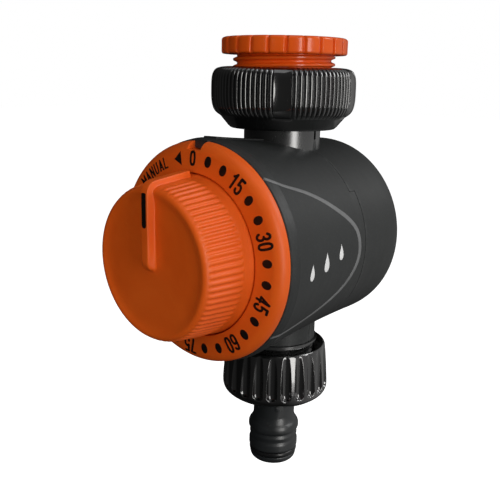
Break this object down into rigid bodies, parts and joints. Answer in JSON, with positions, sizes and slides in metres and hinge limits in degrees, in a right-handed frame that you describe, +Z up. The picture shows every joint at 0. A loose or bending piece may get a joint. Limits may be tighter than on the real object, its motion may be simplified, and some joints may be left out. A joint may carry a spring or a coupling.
{
  "type": "drip irrigation timer",
  "caption": "Clockwork tap timer for drip irrigation: drum housing with a turning dial knob in front, threaded union inlet on top and a quick-connect hose nose below.",
  "frame": {"origin": "centre of the tap-thread mouth, on the top face of the orange thread adaptor", "axes": "+Z up along the pipe axis, out of the tap thread towards the tap; -Y is the way the dial and knob face; +X is to the right of a person facing the dial"},
  "size_m": [0.0697, 0.0881, 0.1486],
  "materials": {
    "orange_plastic": "satin moulded",
    "charcoal_plastic": "fine satin texture",
    "gloss_black": "glossy moulded",
    "black_inlay": "matt print",
    "seal_rubber": "matt rubber",
    "white_plastic": "natural acetal",
    "valve_plastic": "glass-filled, satin",
    "ceramic": "lapped ceramic",
    "steel": "plated",
    "brass": "satin",
    "spring_steel": "blued"
  },
  "bodies": {
    "housing": {"front_shell": "charcoal_plastic", "rear_cover": "charcoal_plastic", "housing_screws": "steel", "dial_ring": "orange_plastic", "valve_body": "valve_plastic", "valve_gland": "valve_plastic", "gland_o_ring": "seal_rubber", "gland_screws": "steel", "stator_disc": "ceramic", "stator_seal": "seal_rubber", "nut_retaining_ring": "white_plastic", "filter_gasket": "seal_rubber", "inlet_filter": "white_plastic", "clock_front_plate": "brass", "clock_rear_plate": "brass", "plate_pillars": "brass", "plate_screws": "steel", "spring_barrel": "steel"},
    "knob": {"knob": "orange_plastic", "pointer_inlay": "black_inlay", "hub_spring_ring": "steel", "main_shaft": "brass", "shaft_o_rings": "seal_rubber", "shaft_clip": "steel", "disc_spring": "steel", "rotor_disc": "ceramic", "mainspring": "spring_steel", "main_wheel": "brass", "clutch_washer": "steel"},
    "second_wheel": {"second_wheel": "brass"},
    "third_wheel": {"third_wheel": "brass"},
    "escape_wheel": {"escape_wheel": "brass"},
    "verge": {"escapement_verge": "steel"},
    "union_nut": {"inlet_union_nut": "gloss_black"},
    "tap_washer": {"tap_washer": "seal_rubber"},
    "thread_adaptor": {"thread_adaptor": "orange_plastic"},
    "outlet_gasket": {"outlet_gasket": "seal_rubber"},
    "hose_connector": {"hose_connector": "gloss_black", "nose_o_ring": "seal_rubber"}
  },
  "joints": [
    {"name": "knob_turn", "type": "hinge", "parent": "housing", "child": "knob", "pos_m": [0, 0, -0.0649], "axis": [0, 1, 0], "range_deg": [-36.42, 291.36]},
    {"name": "second_wheel_spin", "type": "hinge", "parent": "housing", "child": "second_wheel", "pos_m": [0.01406, 0, -0.0649], "axis": [0, 1, 0], "range_deg": [-1751, 221]},
    {"name": "third_wheel_spin", "type": "hinge", "parent": "housing", "child": "third_wheel", "pos_m": [0.01149, 0, -0.07358], "axis": [0, 1, 0], "range_deg": [-1095, 8743]},
    {"name": "escape_wheel_spin", "type": "hinge", "parent": "housing", "child": "escape_wheel", "pos_m": [0.00417, 0, -0.07889], "axis": [0, 1, 0], "range_deg": [-43706, 5465]},
    {"name": "verge_swing", "type": "hinge", "parent": "housing", "child": "verge", "pos_m": [-0.00298, 0, -0.07981], "axis": [0, 1, 0], "range_deg": [-5, 5]},
    {"name": "union_nut_spin", "type": "hinge", "parent": "housing", "child": "union_nut", "pos_m": [0, 0, -0.0245], "axis": [0, 0, 1], "continuous": true},
    {"name": "adaptor_lift", "type": "slide", "parent": "union_nut", "child": "tap_washer", "axis": [0, 0, 1], "range_m": [0, 0.00924]},
    {"name": "adaptor_unscrew", "type": "hinge", "parent": "tap_washer", "child": "thread_adaptor", "pos_m": [0, 0, 0], "axis": [0, 0, 1], "range_deg": [0, 1441]},
    {"name": "connector_drop", "type": "slide", "parent": "housing", "child": "outlet_gasket", "axis": [0, 0, -1], "range_m": [0, 0.00816]},
    {"name": "connector_unscrew", "type": "hinge", "parent": "outlet_gasket", "child": "hose_connector", "pos_m": [0, 0, -0.12], "axis": [0, 0, -1], "range_deg": [0, 1621]}
  ],
  "couplings": [
    {"joint": "second_wheel_spin", "follows": "knob_turn", "ratio": -6},
    {"joint": "third_wheel_spin", "follows": "knob_turn", "ratio": 30},
    {"joint": "escape_wheel_spin", "follows": "knob_turn", "ratio": -150},
    {"joint": "adaptor_unscrew", "follows": "adaptor_lift", "rad_per_m": 2721.2},
    {"joint": "connector_unscrew", "follows": "connector_drop", "rad_per_m": 3463.7}
  ]
}
